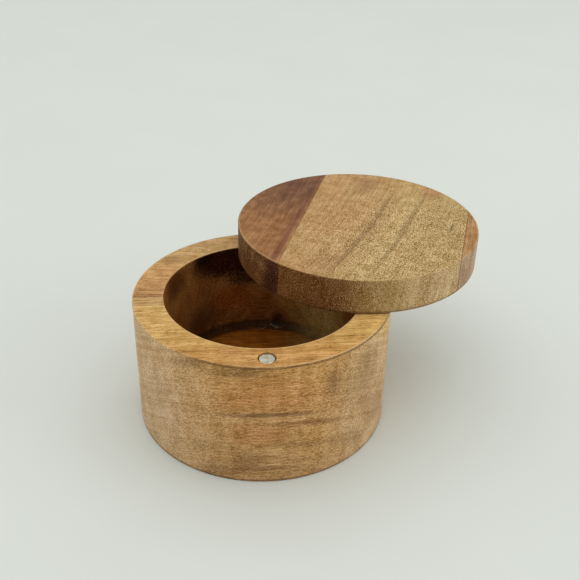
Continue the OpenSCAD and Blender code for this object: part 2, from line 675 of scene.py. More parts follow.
class WoodTree(Graph):
    """Node tree of one board's wood, drawn around the surface's place on the board."""

    FIBRE = Figure(11.0, 0.4, 1.0, 3.0, 0.6)
    SPECKLE = Figure(0.76, 0.38, 2.0)
    STROKE = Figure(15.0, 0.55, 6.0, 2.0, 0.6)
    AREA = Figure(34.0, 13.0, 4.0)
    PORE = Figure(3.4, 0.95, 5.0)
    SWAY = Figure(60.0, 24.0, 0.0, 3.5, 0.6)
    SALT_HEAP = Figure(14.0, 14.0, 7.0)
    SALT_GRAIN = Figure(1.3, 1.3, 8.0)
    # Levels of the noise between which a figure goes from nothing to its full strength
    AREA_SPAN = (0.42, 0.66)
    DARK_STROKE_SPAN = (0.54, 0.63)
    PALE_STROKE_SPAN = (0.46, 0.37)
    SPECKLE_SPAN = (0.36, 0.64)
    SWING_SPAN = (0.34, 0.66)
    SPECK_SPAN = (0.48, 0.62)
    PORE_SPAN = (0.26, 0.12)
    HEAP_SPAN = (0.42, 0.6)
    GRAIN_SPAN = (0.5, 0.7)
    # Steps of the mottle for each millimetre along the grain, across the board and upwards
    MOTTLE = (0.2, 0.16, 0.09)
    RING_SPACING = 1.9
    RING_CONTRAST = 0.08
    # How far the wide soft areas drift, and how dark the pores are
    DRIFT = 0.5
    PORE_DARKNESS = 0.6
    ROUGHNESS = 0.5
    SEAM_WIDTH = 0.28
    TOOL_PITCH = 0.8
    # How far onto the flat beside an edge its wear and painted highlight lie
    WEAR_HIGHLIGHT_INSET = 0.4
    # Over how many millimetres the end of a band fades, to each side
    BAND_FADE = 6
    # How far the fibres fray a mark and a rubbed, highlighted edge, and how far out a frayed mark starts
    MARK_FRAY = 1.1
    EDGE_FRAY = 0.8
    MARK_START = 1.1
    # Depths below the turned side between which the side's own figure begins
    SIDE_DEPTH = (0.5, 0.1)
    # Share of the well's stain and painted shade on its wall and on its floor, and of the painted shade in
    # its cove
    WALL_STAIN_AND_SHADE = 0.75
    FLOOR_STAIN_AND_SHADE = 0.7
    COVE_SHADE = 0.88
    # Heights above the floor and distances from the corner between which the stain and painted shade fade
    FLOOR_REACH = (2.0, 0.3)
    COVE_REACH = (4.8, 2.0)
    # Share of the board's half length over which the painted sheen on its side grows towards the ends
    END_SHEEN_SPAN = (0.25, 0.85)
    # Distances over which the speckle fades, and what is left of it there
    SPECKLE_FADE = (22, 74, 1.0, 0.25)
    # Places along the board between which the well's mouth is rubbed and given a painted highlight, with
    # how far
    MOUTH_WEAR_HIGHLIGHT = (-38, -18, 0.1, 0.5)
    # Places along the board between which the wear and painted highlight of the outer edges change
    WEAR_HIGHLIGHT_ALONG = (-20, 25)
    # Distances from an edge over which its wear and painted highlight fade
    WEAR_HIGHLIGHT_SPAN = (0.6, 0.2)
    # Distances from the lower and the upper edge over which their painted shade starts
    FOOT_SHADE = (1.6, 0.5)
    TOP_SHADE = (1.3, 0.5)
    # Places along the board between which the salt and the upper line of painted shade set in
    SALT_SPAN = (-6, 6)
    TOP_SHADE_SPAN = (-36, -22)
    # Strength and depth of the relief, and the gloss
    RELIEF = (0.6, 0.08)
    GLOSS = 0.12
    # Pale grey tone of the painted sheen on the side's ends
    END_SHEEN_TONE = (214, 186, 146)
    # Pale tone of the rubbed edges, which also paints their highlight
    WEAR_HIGHLIGHT_TONE = (220, 182, 128)
    PORE_TONE = (74, 46, 22)
    GLUE_TONE = (52, 30, 16)
    STROKE_TONE = (112, 68, 32)
    # Tones of the well's oil stain and painted shade on its wall and floor, and of the painted shade in its
    # cove
    WALL_STAIN_SHADE_TONE = (134, 73, 3)
    FLOOR_STAIN_SHADE_TONE = (168, 92, 3)
    COVE_SHADE_TONE = (30, 14, 4)
    SALT_TONE = (176, 166, 140)
    # Red, green and blue: what darkens the wood takes most from the blue
    CHANNEL_CONTRAST = (0.95, 1.25, 2.0)

    def __init__(self, finish: WoodFinish) -> None:
        """Adds the nodes that find the surface's place on the board.

        Args:
            finish: The finish that the tree draws.
        """
        super().__init__(bpy.data.materials.new(finish.name))
        self.finish = finish
        grain, turned = finish.grain, finish.turned
        self.place = finish.board.read(self)
        self.x, self.y, self.z = self.split(self.place)
        # Distance from the turning axis, alone and with the height
        self.radius = self.length(self.join(self.x, self.y))
        self.outline = self.join(self.radius, self.z)
        # Distances along the grain, across the rings and along them
        leaned = self.mapping(self.place, turn=(-grain.tilt, 0, 0))
        rise = self.times(self.x, self.math("SUBTRACT", grain.lean, self.times(self.x, grain.bow)))
        leaned = self.vector("ADD", leaned, self.join(y=rise))
        wander = self.figure(self.SWAY, self.place, "Color")
        wander = self.vector("MULTIPLY_ADD", wander, (4 * grain.sway,) * 3, (-2 * grain.sway,) * 3)
        self.rings = self.vector("ADD", leaned, wander)
        self.phase = self.split(self.rings)[1]
        # 1 on the outer side of the turned piece, or inside its well, and 0 elsewhere
        self.side = self.ease(self.radius, *(turned.radius - depth for depth in self.SIDE_DEPTH))
        self.well = self.find_well()
        self.fibre = self.figure(self.FIBRE, self.rings)
        self.fray = self.math("SUBTRACT", self.fibre, 0.5)
        self.speckle = self.figure(self.SPECKLE, self.rings)
        self.colour = self.base_colour()

    def along(self, figure: Figure, place: Socket) -> Socket:
        """Stretches a place so that noise on it gets a figure's features.

        Args:
            figure: The figure.
            place: Place on the board.

        Returns:
            The stretched place.
        """
        offset = self.finish.grain.seed * 3.7 + figure.shift
        scale = (1 / figure.length, 1 / figure.width, 1 / figure.width)
        return self.mapping(place, (offset, offset * 1.3, offset * 0.7), scale=scale)

    def figure(self, figure: Figure, place: Socket, out: str | int = 0) -> Socket:
        """Returns a figure's noise at a place."""
        return self.noise(self.along(figure, place), figure.detail, figure.roughness, out)

    def find_well(self) -> Value:
        """Finds the inside of the well.

        Returns:
            1 inside the well, and 0 elsewhere.
        """
        turned = self.finish.turned
        if not turned.well_radius:
            return 0.0
        inside = self.ease(self.radius, turned.well_radius + 0.25, turned.well_radius)
        above = self.ease(self.z, 0.5 * turned.well_floor, 0.7 * turned.well_floor)
        return self.times(inside, above)

    def base_colour(self) -> Socket:
        """Gives the wood its tones across the rings, and lets wide areas drift to another tone.

        Returns:
            The colour.
        """
        tones = self.finish.tones
        first, last = tones[0][0], tones[-1][0]
        share = self.math("DIVIDE", self.math("SUBTRACT", self.phase, first), last - first)
        stops = [((ring - first) / (last - first), tone) for ring, tone in tones]
        area = self.figure(self.AREA, self.rings)
        drift = self.ease(area, *self.AREA_SPAN, 0.0, self.DRIFT)
        return self.blend(drift, self.ramp(share, stops), self.finish.drift)

    def paint(self) -> Material:
        """Draws the wood over its base colour.

        Returns:
            The finished material.
        """
        # Painted sheen on the side's ends
        self.paint_end_sheen()
        self.lay_bands()
        # Oil stain and painted shade in the well
        self.stain_and_shade_well()
        self.lay_marks()
        self.vary()
        pores = self.pores()
        wear_and_highlight = self.edge_wear_and_highlight()
        self.cover(self.times(pores, self.PORE_DARKNESS), self.PORE_TONE)
        # Rubbed edges, paler partly from wear and partly as a painted highlight
        self.cover(wear_and_highlight, self.WEAR_HIGHLIGHT_TONE)
        # Painted shade: thin dark lines along the lower and the upper edge of the turned side
        self.cover(self.edge_shade_lines(), self.PORE_TONE)
        self.draw_seams()

        roughness = self.times_add(self.fray, 0.3, self.ROUGHNESS)
        roughness = self.times_add(wear_and_highlight, -0.1, roughness)
        height = self.times_add(pores, -1.0, self.times(self.fibre, 0.7))
        height = self.times_add(self.tool_marks(), 0.2, height)
        return self.surface(self.colour, roughness, height, self.RELIEF, Specular_IOR_Level=self.GLOSS)

    def cover(self, share: Value, tone: Tone) -> None:
        """Lays a tone over the colour, by a share from 0 to 1."""
        self.colour = self.blend(share, self.colour, tone)

    def paint_end_sheen(self) -> None:
        """Pales the turned side towards the two ends of the board, where it cuts across the grain, as
        painted sheen.
        """
        reach = self.math("ABSOLUTE", self.math("DIVIDE", self.x, self.finish.turned.radius))
        across = self.ease(reach, *self.END_SHEEN_SPAN, 0.0, self.finish.end_sheen)
        self.cover(self.times(self.side, across), self.END_SHEEN_TONE)

    def lay_bands(self) -> None:
        """Lays the bands that run along a seam over the colour."""
        fade = self.BAND_FADE
        for band in self.finish.bands:
            across = self.times_add(self.fray, 3 * band.soft, self.y)
            rise = self.ease(across, band.low - band.soft, band.low + band.soft)
            fall = self.ease(across, band.high + band.soft, band.high - band.soft)
            start = self.ease(self.x, band.start - fade, band.start + fade, 0.0, band.strength)
            end = self.ease(self.x, band.end + fade, band.end - fade)
            self.cover(self.times(rise, fall, start, end), band.tone)

    def stain_and_shade_well(self) -> None:
        """Darkens the well, partly as an oil stain and partly as painted shade, darkest as painted shade in
        the cove, where specks of dry salt stay behind.
        """
        turned = self.finish.turned
        if not turned.well_radius:
            return
        floor = turned.well_floor
        self.cover(self.times(self.well, self.WALL_STAIN_AND_SHADE), self.WALL_STAIN_SHADE_TONE)
        start, full = self.FLOOR_REACH
        level = self.ease(self.z, floor + start, floor + full, 0.0, self.FLOOR_STAIN_AND_SHADE)
        self.cover(self.times(self.well, level), self.FLOOR_STAIN_SHADE_TONE)
        corner = self.distance(self.outline, (turned.well_radius, floor, 0))
        cove = self.times(self.well, self.ease(corner, *self.COVE_REACH))
        self.cover(self.times(cove, self.COVE_SHADE), self.COVE_SHADE_TONE)
        heaps = self.ease(self.figure(self.SALT_HEAP, self.place), *self.HEAP_SPAN)
        grains = self.ease(self.figure(self.SALT_GRAIN, self.place), *self.GRAIN_SPAN, 0.0, 0.5)
        self.cover(self.times(cove, heaps, self.ease(self.x, *self.SALT_SPAN), grains), self.SALT_TONE)

    def lay_marks(self) -> None:
        """Lays the board's own streaks and patches over its colour, with frayed edges."""
        fray = self.times(self.fray, self.MARK_FRAY)
        zones = {Zone.ANY: 1.0, Zone.SIDE: self.side, Zone.WELL: self.well}
        for mark in self.finish.marks:
            centre = self.finish.grain.place(*mark.place)
            inside = self.mapping(self.rings, centre, scale=mark.reach, kind="TEXTURE")
            distance = self.math("ADD", self.length(inside), fray)
            share = self.ease(distance, self.MARK_START, mark.core, 0.0, mark.strength)
            share = self.times(share, zones[mark.zone])
            if mark.specks:
                share = self.times(share, self.ease(self.speckle, *self.SPECK_SPAN, 1.0, 1 - mark.specks))
            self.cover(share, mark.tone)

    def vary(self) -> None:
        """Lays strokes along the grain, and lets rings, fibres, speckle and mottle vary the colour."""
        finish, seed = self.finish, self.finish.grain.seed
        stroke = self.figure(self.STROKE, self.rings)
        dark = self.ease(stroke, *self.DARK_STROKE_SPAN, 0.0, finish.stroke_strength)
        self.cover(dark, self.STROKE_TONE)
        pale = self.ease(stroke, *self.PALE_STROKE_SPAN, 0.0, finish.pale_strokes)
        mottle = self.noise(self.mapping(self.place, (seed,) * 3, scale=self.MOTTLE), 1.5)
        inputs = {"W": self.math("ADD", self.phase, seed), "Scale": 1 / self.RING_SPACING, "Detail": 2.0}
        ring = self.add("ShaderNodeTexNoise", inputs, noise_dimensions="1D").outputs[0]
        strength = self.ease(self.side, 0.0, 1.0, finish.speckle_contrast, finish.side_speckle)
        if finish.speckle_from:
            away = self.distance(self.place, finish.speckle_from)
            strength = self.times(strength, self.ease(away, *self.SPECKLE_FADE))
        light = self.times_add(self.ease(self.speckle, *self.SPECKLE_SPAN, -1.0, 1.0), strength, 1.0)
        light = self.math("ADD", light, pale)
        oiled = self.times_add(self.well, 0.2, finish.fibre_contrast)
        swings = (ring, self.RING_CONTRAST), (self.fibre, oiled), (mottle, finish.mottle_contrast)
        for noise, contrast in swings:
            light = self.times_add(self.ease(noise, *self.SWING_SPAN, -1.0, 1.0), contrast, light)
        light = self.vector("POWER", self.math("MAXIMUM", light, 0.1), self.CHANNEL_CONTRAST)
        self.colour = self.vector("MULTIPLY", self.colour, light)

    def pores(self) -> Socket:
        """Scatters the short dark pores, which are dots where the grain is cut across."""
        inputs = {"Vector": self.along(self.PORE, self.rings), "Scale": 1.0}
        return self.ease(self.add("ShaderNodeTexVoronoi", inputs).outputs["Distance"], *self.PORE_SPAN)

    def edge_wear_and_highlight(self) -> Value:
        """Finds the eased edges, where handling has rubbed the wood paler and a highlight is painted on.

        Returns:
            How far the wood is rubbed and highlighted, from 0 to 1.
        """
        turned = self.finish.turned
        wear_and_highlight = 0.0
        for edge_radius, height in turned.eased_edges:
            inner = edge_radius < turned.radius
            inset = self.WEAR_HIGHLIGHT_INSET if inner else -self.WEAR_HIGHLIGHT_INSET
            distance = self.distance(self.outline, (edge_radius + inset, height, 0))
            distance = self.times_add(self.fray, self.EDGE_FRAY, distance)
            reach = self.MOUTH_WEAR_HIGHLIGHT if inner else (*self.WEAR_HIGHLIGHT_ALONG, *self.finish.wear_and_highlight)
            rubbed_and_highlighted = self.ease(distance, *self.WEAR_HIGHLIGHT_SPAN, 0.0, self.ease(self.x, *reach))
            wear_and_highlight = self.math("MAXIMUM", wear_and_highlight, rubbed_and_highlighted)
        return wear_and_highlight

    def edge_shade_lines(self) -> Socket:
        """Finds the thin broken lines of painted shade on the turned side, along its two edges.

        Returns:
            How dark the painted shade is, from 0 to 1.
        """
        foot, top = self.finish.edge_shade
        low, high = self.finish.turned.low, self.finish.turned.high
        lower = self.ease(self.z, *(low + step for step in self.FOOT_SHADE), 0.0, foot)
        upper = self.ease(self.z, *(high - step for step in self.TOP_SHADE), 0.0, top)
        upper = self.times(upper, self.ease(self.x, *self.TOP_SHADE_SPAN))
        broken = self.ease(self.fibre, 0.3, 0.6, 0.3, 1.0)
        return self.times(self.side, self.math("MAXIMUM", lower, upper), broken)

    def draw_seams(self) -> None:
        """Draws the thin dark glue lines."""
        for seam, darkness in self.finish.seams:
            distance = self.math("ABSOLUTE", self.math("SUBTRACT", self.y, seam))
            line = self.ease(distance, self.SEAM_WIDTH, 0.3 * self.SEAM_WIDTH, 0.0, darkness)
            self.cover(line, self.GLUE_TONE)

    def tool_marks(self) -> Socket:
        """Gives the fine rings that the turning tool left, deepest in the well.

        Returns:
            Their height, from -1 to 1.
        """
        path = self.math("ADD", self.radius, self.z)
        wave = self.math("SINE", self.times(path, 2 * math.pi / self.TOOL_PITCH))
        return self.times(wave, self.times_add(self.well, 0.8, 0.2))


@dataclass(frozen=True)
class MetalFinish:
    """Plain metal with a fine grain, small scratches and dull spots."""

    name: str
    tone: Tone
    dull: Tone
    """Tone of the dull spots."""
    roughness: float
    grit: float
    """Size of the grain."""

    # Turn of the scratches, in degrees, with their length and width
    SCRATCH_TURN = 33
    SCRATCH_LENGTH, SCRATCH_WIDTH = 2.4, 0.09

    def build(self) -> Material:
        """Builds the material.

        Returns:
            The finished material.
        """
        graph = Graph(bpy.data.materials.new(self.name))
        place = BoardFrame().read(graph)
        grit = graph.noise(graph.mapping(place, (3, 5, 7), scale=(1 / self.grit,) * 3), 2.0, 0.6)
        cloud = graph.noise(graph.mapping(place, (1, 2, 9), scale=(0.6,) * 3))
        steps = (1 / self.SCRATCH_LENGTH, 1 / self.SCRATCH_WIDTH, 1 / self.SCRATCH_WIDTH)
        lines = graph.mapping(place, (4, 8, 2), (0, 0, self.SCRATCH_TURN), steps)
        scratches = graph.ease(graph.noise(lines, 1.0), 0.6, 0.72)
        colour = graph.blend(graph.ease(cloud, 0.35, 0.7), self.tone, self.dull)
        shade = graph.times_add(graph.math("SUBTRACT", grit, 0.5), 0.5, 1.0)
        colour = graph.vector("MULTIPLY", colour, shade)
        roughness = graph.times_add(grit, 0.3, self.roughness - 0.15)
        height = graph.times_add(scratches, -0.6, grit)
        return graph.surface(colour, roughness, height, (0.4, 0.03), Metallic=1.0)


@dataclass(frozen=True)
class NylonFinish:
    """Milky plastic with faint clouds and a fine moulded grain."""

    name: str
    tone: Tone
    cloud: Tone

    def build(self) -> Material:
        """Builds the material.

        Returns:
            The finished material.
        """
        graph = Graph(bpy.data.materials.new(self.name))
        place = BoardFrame().read(graph)
        cloud = graph.noise(graph.mapping(place, (2, 4, 6), scale=(0.5,) * 3))
        grit = graph.noise(graph.mapping(place, (1, 3, 5), scale=(6.0,) * 3))
        colour = graph.blend(graph.ease(cloud, 0.3, 0.7), self.tone, self.cloud)
        roughness = graph.times_add(grit, 0.2, 0.35)
        return graph.surface(colour, roughness, grit, (0.3, 0.02), Subsurface_Weight=0.1)


def coat(piece: bpy.types.Object, finish: Material) -> None:
    """Gives a piece its finish and reports the piece.

    Args:
        piece: The finished object.
        finish: Its material.
    """
    piece.data.materials.clear()
    piece.data.materials.append(finish)
    log.info("%s: %d faces, %s", piece.name, len(piece.data.polygons), finish.name)


def settle(piece: bpy.types.Object, node: str, body: Body, finish: Material) -> None:
    """Dresses a finished piece and lets it stand for its frame node.

    Args:
        piece: The finished object.
        node: Frame node that the piece stands for.
        body: Body that it rides on.
        finish: Its material.
    """
    coat(piece, finish)
    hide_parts(node)
    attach(piece, body.value)


@dataclass
class DiscMagnet:
    """Nickel disc magnet in an open pocket."""

    node: str
    body: Body
    edge: float = 0.25
    """Width of its rounded corners."""
    pocket_gap: float = 0.5
    """Space between the magnet and the wall of its pocket."""
    pocket_ease: float = 0.15
    """Width of the break at the pocket's mouth."""
    dish: float = 0.03
    """Depth of the faint dish in each of its faces."""
    dish_insets: Pair = (0.35, 0.3)
    """Widths of the rings between the rounded corner and the dish."""
    drum: Drum = field(init=False)

    def __post_init__(self) -> None:
        """Takes the magnet's place from the frame."""
        self.drum = Drum.around(self.node)

    def model(self) -> bpy.types.Object:
        """Models the magnet: a disc with rounded corners and faintly dished faces.

        Returns:
            The finished object.
        """
        low, high = self.drum.low, self.drum.high
        disc = Workpiece.turned(f"{self.node}_disc", self.drum)
        with disc.editing():
            for height in (low, high):
                disc.pick_ring(self.drum.radius, height)
                disc.round_over(self.edge, EDGE_STEPS)
            for height, sink in ((low, self.dish), (high, -self.dish)):
                disc.pick_flat(height)
                for width in self.dish_insets:
                    disc.inset(width)
                disc.extrude(0)
                disc.lift(sink)
        return disc.finish()

    def pocket(self, mouth: float, floor: float) -> Workpiece:
        """Makes the cutter for the magnet's pocket, with a broken edge at its mouth.

        Args:
            mouth: Height of the surface that the pocket opens in.
            floor: Height of the pocket's floor.

        Returns:
            The cutter.
        """
        radius = self.drum.radius + self.pocket_gap
        way_out = 1 if mouth > floor else -1
        space = Drum(radius, min(floor, mouth), max(floor, mouth), self.drum.centre)
        cutter = Workpiece.turned("pocket_cutter", space)
        with cutter.editing():
            cutter.pick_flat(mouth)
            cutter.lift(-way_out * self.pocket_ease)
            cutter.extrude(2 * way_out * self.pocket_ease)
            cutter.flare(1 + 2 * self.pocket_ease / radius)
        return cutter

    def dress(self, finish: Material) -> None:
        """Models the magnet and gives it its finish."""
        settle(self.model(), self.node, self.body, finish)


@dataclass
class TurnedBox:
    """Box turned from two glued boards, with a round well and a pocket in its rim."""

    front: str = "body_front_board"
    rear: str = "body_rear_board"
    wall: float = 12.5
    floor: float = 12.0
    cove: float = 3.5
    cove_steps: int = 10
    drum: Drum = field(init=False)
    seam: float = field(init=False)

    def __post_init__(self) -> None:
        """Takes the box's size and the place of its seam from the frame."""
        drum = Drum.around(self.front, self.rear)
        self.drum = Drum(drum.radius, 0.0, drum.high, (0.0, 0.0), drum.radius - self.wall, self.floor)
        self.seam = node_extent(self.front)[1].y

    def shape(self) -> Workpiece:
        """Turns the whole box: its outside, its well, the cove at the well's foot and its eased edges.

        Returns:
            The box in one piece.
        """
        box = Workpiece.turned("turned_box", self.drum, TURNED_SIDES)
        with box.editing():
            box.pick_flat(self.drum.high)
            box.inset(self.wall)
            box.extrude(self.floor - self.drum.high)
            box.pick_ring(self.drum.well_radius, self.floor)
            box.round_over(self.cove, self.cove_steps)
            box.ease_edges(self.drum)
        return box

    def build(self, magnet: DiscMagnet, pin: "PivotPin", finishes: dict[str, Material]) -> None:
        """Models the two boards and dresses them.

        Args:
            magnet: The magnet whose pocket the rim holds.
            pin: The pin whose bore the rim holds.
            finishes: Material of each board, by node.
        """
        whole = self.shape()
        for node, side in ((self.front, -1), (self.rear, 1)):
            board = whole.copy(f"{node}_turned")
            board.saw((0, self.seam, 0), (0, side, 0))
            if node == self.front:
                board.carve(magnet.pocket(self.drum.high, magnet.drum.low))
            else:
                board.carve(pin.bore(self.drum.high))
            settle(board.finish(), node, Body.BOX, finishes[node])
        bpy.data.objects.remove(whole.piece)


@dataclass
class PivotPin:
    """Steel pin, brass sleeve and nylon washer that carry the lid, which are the frame's own solids."""

    pin: str = "pivot_pin"
    sleeve: str = "pivot_sleeve"
    washer: str = "pivot_washer"

    @property
    def drum(self) -> Drum:
        """Place and size of the pin."""
        return Drum.around(self.pin)

    def bore(self, mouth: float) -> Workpiece:
        """Makes the cutter for the bore that the pin is pressed into, up past the rim."""
        return Workpiece.turned("bore_cutter", replace(self.drum, high=mouth + 1))

    def socket(self, mouth: float) -> Workpiece:
        """Makes the cutter for the hole in the lid that the sleeve is pressed into."""
        sleeve = replace(Drum.around(self.sleeve), low=mouth - 1, centre=self.drum.centre)
        return Workpiece.turned("socket_cutter", sleeve)

    def dress(self, steel: Material, brass: Material, nylon: Material) -> None:
        """Gives each of the three solids its finish.

        Args:
            steel: Finish of the pin.
            brass: Finish of the sleeve.
            nylon: Finish of the washer.
        """
        for node, finish in ((self.pin, steel), (self.sleeve, brass), (self.washer, nylon)):
            coat(frame["nodes"][node], finish)


@dataclass
class SwivelLid:
    """Thick disc lid glued from three boards, swung open about the pin."""

    rear: str = "lid_rear_board"
    middle: str = "lid_middle_board"
    strip: str = "lid_edge_strip"
    rear_width: float = 28.3
    strip_width: float = 5.6
    board_turn: float = -0.6
    """How far the seams are turned from X when the lid is closed, in degrees."""
    face_inset: float = 6.0
    """Width of the ring of faces next to its edge, above and below."""
    drum: Drum = field(init=False)
    swing: float = field(init=False)

    def __post_init__(self) -> None:
        """Takes the size of the closed lid and its swing from the frame."""
        self.drum = replace(Drum.around(self.rear, self.middle, self.strip), centre=(0.0, 0.0))
        self.swing = -frame["joints"][0]["range_deg"][0]

    @property
    def seams(self) -> Pair:
        """Distances of the rear seam and the strip's seam from the lid's centre, across the boards."""
        return self.drum.radius - self.rear_width, self.strip_width - self.drum.radius

    def shape(self) -> Workpiece:
        """Turns the whole lid, closed over the box, with its eased edges.

        Returns:
            The lid in one piece.
        """
        lid = Workpiece.turned("turned_lid", self.drum, TURNED_SIDES)
        with lid.editing():
            lid.ease_edges(self.drum)
            for height in (self.drum.high, self.drum.low):
                lid.pick_flat(height)
                lid.inset(self.face_inset)
        return lid

    def build(self, magnet: DiscMagnet, pin: PivotPin, finishes: dict[str, Material]) -> None:
        """Models the three boards, drills them and dresses them.

        Args:
            magnet: The magnet whose pocket the lid's underside holds.
            pin: The pivot whose sleeve the lid holds.
            finishes: Material of each board, by node.
        """
        whole = self.shape()
        turn = Matrix.Rotation(math.radians(self.board_turn), 3, "Z")
        ahead = turn @ Vector((0, 1, 0))
        rear_seam, strip_seam = (tuple(ahead * seam) for seam in self.seams)
        cuts = {
            self.rear: ((rear_seam, tuple(ahead)),),
            self.middle: ((rear_seam, tuple(-ahead)), (strip_seam, tuple(ahead))),
            self.strip: ((strip_seam, tuple(-ahead)),),
        }
        for node, planes in cuts.items():
            board = whole.copy(f"{node}_turned")
            for point, keep in planes:
                board.saw(point, keep)
            board.swing(pin.drum.centre, self.swing)
            if node == self.rear:
                board.carve(pin.socket(self.drum.low))
            if node == self.middle:
                board.carve(magnet.pocket(self.drum.low, magnet.drum.high))
            settle(board.finish(), node, Body.LID, finishes[node])
        bpy.data.objects.remove(whole.piece)


@dataclass
class WoodStore:
    """Finishes of the five boards, each with the figure that shows in its place."""

    box: TurnedBox
    lid: SwivelLid
    pin: PivotPin

    def boards(self) -> dict[str, Material]:
        """Builds each board's material.

        Returns:
            The materials, by node.
        """
        finishes = {
            self.box.front: self.front_board(),
            self.box.rear: self.rear_board(),
            self.lid.rear: self.lid_dark(),
            self.lid.middle: self.lid_pale(),
            self.lid.strip: self.lid_strip(),
        }
        return {node: finish.build() for node, finish in finishes.items()}

    def lid_frame(self) -> BoardFrame:
        """Returns the frame of the lid's boards, which is that of the closed lid."""
        return BoardFrame(self.pin.drum.centre, self.lid.swing, self.lid.board_turn)

    def front_board(self) -> WoodFinish:
        """Golden board at the front of the box, with dark streaks across its wall."""
        front = -self.box.drum.radius
        return WoodFinish(
            name="front_board_wood",
            board=BoardFrame(),
            turned=self.box.drum,
            grain=Grain(tilt=60, lean=0.02, bow=0.0, sway=0.7, seed=1.0),
            tones=(
                (-26, (180, 138, 88)), (-9, (188, 146, 92)), (8, (196, 148, 92)), (20, (196, 148, 86)),
                (25, (190, 140, 76)), (31, (196, 154, 86)), (38, (206, 166, 98)), (47, (192, 152, 92)),
            ),
            drift=(194, 146, 84),
            marks=(
                Mark((-2, front, 42), (26, 9, 14), (194, 132, 72), 0.54, Zone.SIDE),
                Mark((-6, front, 24), (17, 6.5, 12), (180, 122, 70), 0.55, Zone.SIDE),
                Mark((-2, front, 33), (28, 1.3, 16), (76, 48, 24), 0.6, Zone.SIDE),
                Mark((17, front, 27.8), (22, 2.1, 16), (122, 78, 44), 0.58, Zone.SIDE),
                Mark((10, front, 18), (24, 1.5, 16), (112, 74, 40), 0.35, Zone.SIDE),
                Mark((-4, front, 6.5), (20, 1.2, 16), (112, 66, 36), 0.4, Zone.SIDE),
                # Dark dashes just under the rim, partly marks in the wood and partly painted shade under
                # the rim's edge
                Mark((-13, -50.9, 52.2), (15, 3, 12), (92, 66, 34), 0.47, Zone.SIDE),
                Mark((-30, -43, 51), (13, 3.2, 12), (92, 66, 34), 0.32, Zone.SIDE),
                Mark((23, -47, 43), (4, 8.5, 12), (116, 80, 44), 0.55, Zone.SIDE),
                Mark((36, -38, 38), (14, 18, 18), (152, 120, 74), 0.62, Zone.SIDE),
                Mark((42, -22, 55), (20, 11, 17), (232, 190, 114), 0.7),
                Mark((38, -36, 23), (8, 8, 14), (172, 128, 84), 0.5, Zone.SIDE),
                # Painted sheen: a pale grey patch on the left of the side
                Mark((-42, -30, 30), (14, 24, 18), (200, 168, 130), 0.55, Zone.SIDE),
                Mark((-20, -48.5, 4), (14, 5, 12), (118, 84, 54), 0.42, Zone.SIDE),
                Mark((-9, -51.7, 10), (9, 7, 12), (118, 80, 48), 0.45, Zone.SIDE),
                Mark((31, -42.4, 12), (14, 5, 12), (124, 92, 56), 0.42, Zone.SIDE),
                Mark((44, -29, 16), (9, 12, 12), (140, 108, 68), 0.5, Zone.SIDE),
            ),
            bands=(
                Band(-7.6, 0.5, (180, 142, 88), 0.75),
                Band(-8.7, -7.8, (232, 196, 128), 0.7, 0.2),
            ),
            seams=((self.box.seam, 0.85),),
            end_sheen=0.45,
            stroke_strength=0.36,
            pale_strokes=0.17,
            wear_and_highlight=(0.1, 0.6),
        )

    def rear_board(self) -> WoodFinish:
        """Tan board at the rear of the box, with a dark smudge across its rim."""
        top = self.box.drum.high
        return WoodFinish(
            name="rear_board_wood",
            board=BoardFrame(),
            turned=self.box.drum,
            grain=Grain(tilt=-20, lean=0.05, bow=0.001, sway=1.5, seed=2.0),
            tones=(
                (-20, (184, 136, 84)), (-6, (198, 150, 92)), (8, (198, 158, 98)), (24, (192, 158, 102)),
                (40, (190, 154, 104)),
            ),
            drift=(194, 146, 90),
            marks=(
                Mark((-36, 30, top), (11, 4.5, 12), (132, 98, 56), 0.5),
                Mark((-24, 46, top), (9, 4, 9), (196, 148, 108), 0.5),
                Mark((-25, 31, 22), (18, 12, 12), (44, 18, 4), 0.6, Zone.WELL),
                Mark((-12, 38, 28), (18, 10, 8), (158, 74, 2), 0.6, Zone.WELL),
                # Painted shadow of the lid across the top and the middle of the well's far wall
                Mark((-12, 37, 50), (34, 15, 11), (50, 18, 6), 1.0, Zone.WELL, 0.6),
                Mark((0, 40, 42), (16, 14, 10), (36, 12, 6), 0.7, Zone.WELL, 0.4),
                Mark((-24, 32, 52), (10, 5, 5), (18, 4, 2), 0.9, Zone.WELL, 0.4),
                Mark((-6, 39, 37), (11, 4, 4), (40, 14, 4), 0.6, Zone.WELL),
                # Darker top of the well's left wall
                Mark((-36, 17, 49), (10, 12, 9), (58, 26, 4), 0.7, Zone.WELL, 0.4),
                # Painted sheen: pale olive streaks on the well's left wall
                Mark((-37.5, 13, 38), (6, 6, 5), (150, 112, 52), 0.6, Zone.WELL),
                Mark((-32.7, 23, 40), (6, 5, 4), (150, 112, 44), 0.6, Zone.WELL),
                # Painted light: a pale patch on the well's right wall, under the lid
                Mark((30, 26, 24), (26, 18, 20), (208, 184, 108), 0.95, Zone.WELL),
                Mark((15, 37, 27), (9, 9, 6), (196, 150, 70), 0.55, Zone.WELL),
                Mark((10, 39, 16), (5, 5, 4.5), (16, 8, 2), 0.8, Zone.WELL),
            ),
            bands=(
                Band(0, 1.2, (154, 110, 66), 0.6),
                Band(4.2, 5.2, (150, 104, 60), 0.5),
            ),
            seams=((self.box.seam, 0.85),),
            end_sheen=0.45,
        )

